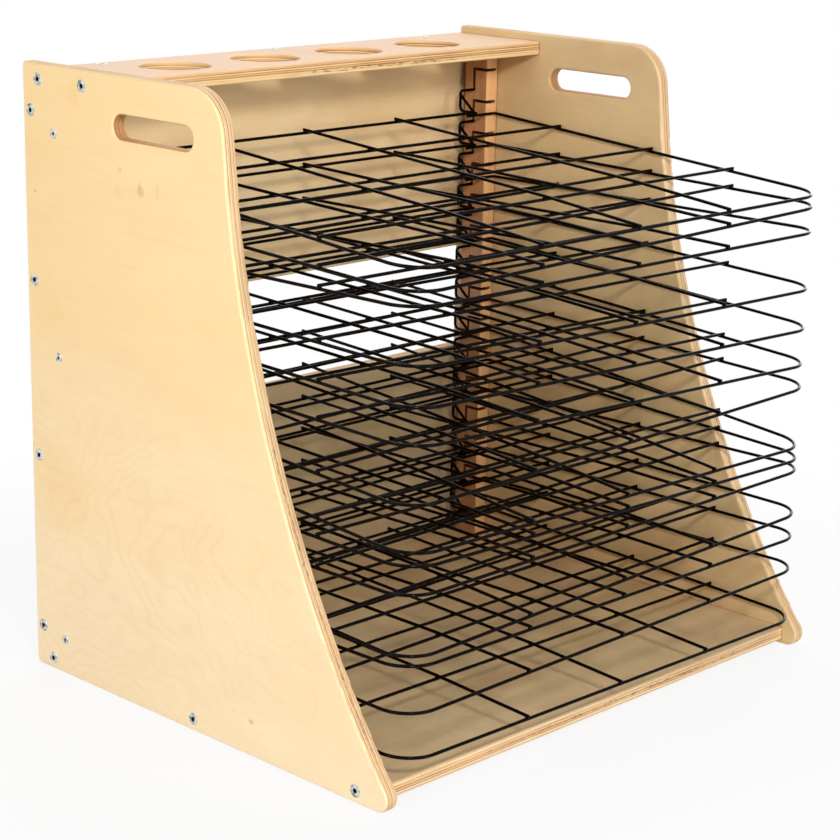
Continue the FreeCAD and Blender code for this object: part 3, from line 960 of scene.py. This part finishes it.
def plain_mesh(piece):
    """Turns what a piece's modifiers make into its own mesh."""
    graph = bpy.context.evaluated_depsgraph_get()
    mesh = bpy.data.meshes.new_from_object(piece.evaluated_get(graph))
    piece.modifiers.clear()
    piece.data = mesh
    mesh.name = piece.name


def bead_piece(name, body, spots, half_width, half_height, spread, seed):
    """One mesh of beads that rides on a rack."""
    mesh = bpy.data.meshes.new(name)
    mesh.from_pydata([tuple(place) for place, _ in spots], [], [])
    marks = mesh.attributes.new("facing", "FLOAT_VECTOR", "POINT")
    for mark, (_, facing) in zip(marks.data, spots):
        mark.vector = facing.normalized()
    piece = bpy.data.objects.new(name, mesh)
    bpy.context.scene.collection.objects.link(piece)
    tree = bead_tree()
    values = {"Half width": half_width, "Half height": half_height, "Spread": spread,
              "Seed": seed, "Finish": black_coat()}
    modifier = piece.modifiers.new("Wire beads", "NODES")
    modifier.node_group = tree
    for item in tree.interface.items_tree:
        if item.item_type == "SOCKET" and item.name in values:
            modifier[item.identifier] = values[item.name]
    plain_mesh(piece)
    if not piece.data.polygons:
        raise RuntimeError("no beads were made for " + name)
    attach(piece, body)


class DRYRACK_OT_welds(bpy.types.Operator):
    """Put a weld bead wherever two wires of a rack cross"""
    bl_idname = "dryrack.welds"
    bl_label = "Weld Beads"

    def execute(self, context):
        look = settings("rack")
        for number, name in enumerate(RACKS):
            bead_piece(name + "_welds", name, weld_spots(HangingRack(name)),
                       look.bead_radius, look.bead_height, WELD_SPREAD, number)
        return {"FINISHED"}


class DRYRACK_OT_wire_ends(bpy.types.Operator):
    """Dome the cut ends of the wires"""
    bl_idname = "dryrack.wire_ends"
    bl_label = "Wire Ends"

    def execute(self, context):
        look = settings("rack")
        for number, name in enumerate(RACKS):
            bead_piece(name + "_wire_ends", name, end_spots(HangingRack(name)),
                       look.wire_radius, look.cap_height, 0.0, number)
        return {"FINISHED"}


# ---- Stage ----

# Places and widths of the square lamps, and the point they are aimed at
LAMPS = {
    "key": ((-1.25, -1.75, 1.5), 0.3),
    "side": ((-3.0, -0.2, 1.3), 1.5),
    "front": ((0.4, -3.2, 1.3), 1.5),
    "top": ((1.0, 1.3, 2.4), 1.2),
    "far": ((3.0, 0.8, 1.2), 1.5),
}
LAMP_AIM = Vector((0.0, 0.0, 0.32))

# Where the camera stands, which way it looks and which way is right in its picture
CAMERA_PLACE = (-1.6828, -1.6179, 0.9009)
CAMERA_AHEAD = Vector((0.69111, 0.67309, -0.26328))
CAMERA_RIGHT = Vector((0.70127, -0.71264, 0.01892))
SENSOR_WIDTH = 36.0           # in millimetres
CLIP_DISTANCES = (0.05, 60.0)

WHITE = (1.0, 1.0, 1.0, 1.0)
FLOOR_GREY = (0.8, 0.8, 0.8, 1.0)
FLOOR_LEVEL = -0.0005         # just under the feet of the case
FLOOR_FADE = (0.45, 1.0)      # distances over which the floor goes to plain white
FLOOR_WHITENESS = (0.86, 1.0)


def floor_material():
    """Pale floor that keeps a soft shadow and goes to plain white further out."""
    material, tree, shader = new_material("Pale floor")
    shader.inputs["Base Color"].default_value = FLOOR_GREY
    shader.inputs["Roughness"].default_value = 0.9
    white = add(tree, "ShaderNodeEmission", {"Color": WHITE, "Strength": 1.0}).outputs[0]
    reach = length_of(tree, object_place(tree))
    whiteness = between(tree, reach, *FLOOR_FADE, *FLOOR_WHITENESS, True)
    factor = calc(tree, "MULTIPLY", seen_directly(tree), whiteness)
    mixed = add(tree, "ShaderNodeMixShader", {0: factor, 1: shader.outputs[0], 2: white})
    output = shader.outputs[0].links[0].to_node
    tree.links.new(mixed.outputs[0], output.inputs[0])
    return material


def area_light(name, place, size, power):
    """Soft square lamp that points at the middle of the case."""
    lamp = bpy.data.lights.new(name, "AREA")
    lamp.shape = "SQUARE"
    lamp.size = size
    lamp.energy = power
    holder = bpy.data.objects.new(name, lamp)
    holder.location = place
    holder.visible_camera = False
    holder.rotation_mode = "QUATERNION"
    aim = LAMP_AIM - Vector(place)
    holder.rotation_quaternion = aim.to_track_quat("-Z", "Y")
    bpy.context.scene.collection.objects.link(holder)


def white_world(strength):
    """White background, far weaker as a light than as it is seen."""
    world = bpy.data.worlds.new("White studio")
    bpy.context.scene.world = world
    world.use_nodes = True
    tree = world.node_tree
    tree.nodes.clear()
    level = between(tree, seen_directly(tree), 0.0, 1.0, strength, 1.0)
    sky = add(tree, "ShaderNodeBackground", {"Color": WHITE, "Strength": level})
    add(tree, "ShaderNodeOutputWorld", {0: sky.outputs[0]})


def square_floor(size):
    """Square floor just under the case."""
    mesh = bpy.data.meshes.new("floor")
    half = size / 2
    corners = [(x * half, y * half, FLOOR_LEVEL)
               for x, y in ((-1, -1), (1, -1), (1, 1), (-1, 1))]
    mesh.from_pydata(corners, [], [(0, 1, 2, 3)])
    mesh.materials.append(floor_material())
    floor = bpy.data.objects.new("floor", mesh)
    bpy.context.scene.collection.objects.link(floor)


def front_camera(focal_length):
    """Camera in front of the case, to its left and a little above it."""
    lens = bpy.data.cameras.new("camera")
    lens.sensor_width = SENSOR_WIDTH
    lens.lens = focal_length * 1000
    lens.clip_start, lens.clip_end = CLIP_DISTANCES
    camera = bpy.data.objects.new("camera", lens)
    up = CAMERA_RIGHT.cross(CAMERA_AHEAD)
    turn = Matrix((CAMERA_RIGHT, up, -CAMERA_AHEAD)).transposed()
    camera.matrix_world = Matrix.Translation(CAMERA_PLACE) @ turn.to_4x4()
    bpy.context.scene.collection.objects.link(camera)
    bpy.context.scene.camera = camera


class DRYRACK_OT_stage(bpy.types.Operator):
    """Make the floor, the lights and the camera"""
    bl_idname = "dryrack.stage"
    bl_label = "Stage"

    def execute(self, context):
        look = settings("stage")
        square_floor(look.floor_size)
        white_world(look.surround)
        for name, (place, size) in LAMPS.items():
            area_light(name, place, size, getattr(look, name + "_power"))
        front_camera(look.focal_length)
        context.scene.view_settings.view_transform = "Standard"
        return {"FINISHED"}


# ---- Panel and run ----

STEPS = (
    DRYRACK_OT_side_panels,
    DRYRACK_OT_top_shelf,
    DRYRACK_OT_bottom_board,
    DRYRACK_OT_back_panels,
    DRYRACK_OT_uprights,
    DRYRACK_OT_screws,
    DRYRACK_OT_racks,
    DRYRACK_OT_welds,
    DRYRACK_OT_wire_ends,
    DRYRACK_OT_stage,
)
SETTINGS = {
    "plywood": PlywoodSettings,
    "upright": UprightSettings,
    "screw": ScrewSettings,
    "rack": RackSettings,
    "stage": StageSettings,
}


class DRYRACK_PT_panel(bpy.types.Panel):
    """Lists the steps and their settings"""
    bl_idname = "DRYRACK_PT_panel"
    bl_label = "Art Drying Rack"
    bl_space_type = "VIEW_3D"
    bl_region_type = "UI"
    bl_category = "Drying Rack"

    def draw(self, context):
        for step in STEPS:
            self.layout.operator(step.bl_idname)
        for name, group in SETTINGS.items():
            part = self.layout.box()
            part.label(text=group.__doc__)
            for prop in group.__annotations__:
                part.prop(settings(name), prop)


def register():
    for name, group in SETTINGS.items():
        bpy.utils.register_class(group)
        pointer = bpy.props.PointerProperty(type=group)
        setattr(bpy.types.Scene, "drying_rack_" + name, pointer)
    for step in STEPS:
        bpy.utils.register_class(step)
    bpy.utils.register_class(DRYRACK_PT_panel)


def unregister():
    bpy.utils.unregister_class(DRYRACK_PT_panel)
    for step in reversed(STEPS):
        bpy.utils.unregister_class(step)
    for name, group in reversed(list(SETTINGS.items())):
        delattr(bpy.types.Scene, "drying_rack_" + name)
        bpy.utils.unregister_class(group)


def main():
    register()
    bpy.ops.dryrack.side_panels()
    bpy.ops.dryrack.top_shelf()
    bpy.ops.dryrack.bottom_board()
    bpy.ops.dryrack.back_panels()
    bpy.ops.dryrack.uprights()
    bpy.ops.dryrack.screws()
    bpy.ops.dryrack.racks()
    bpy.ops.dryrack.welds()
    bpy.ops.dryrack.wire_ends()
    bpy.ops.dryrack.stage()


if __name__ == "__main__":
    main()
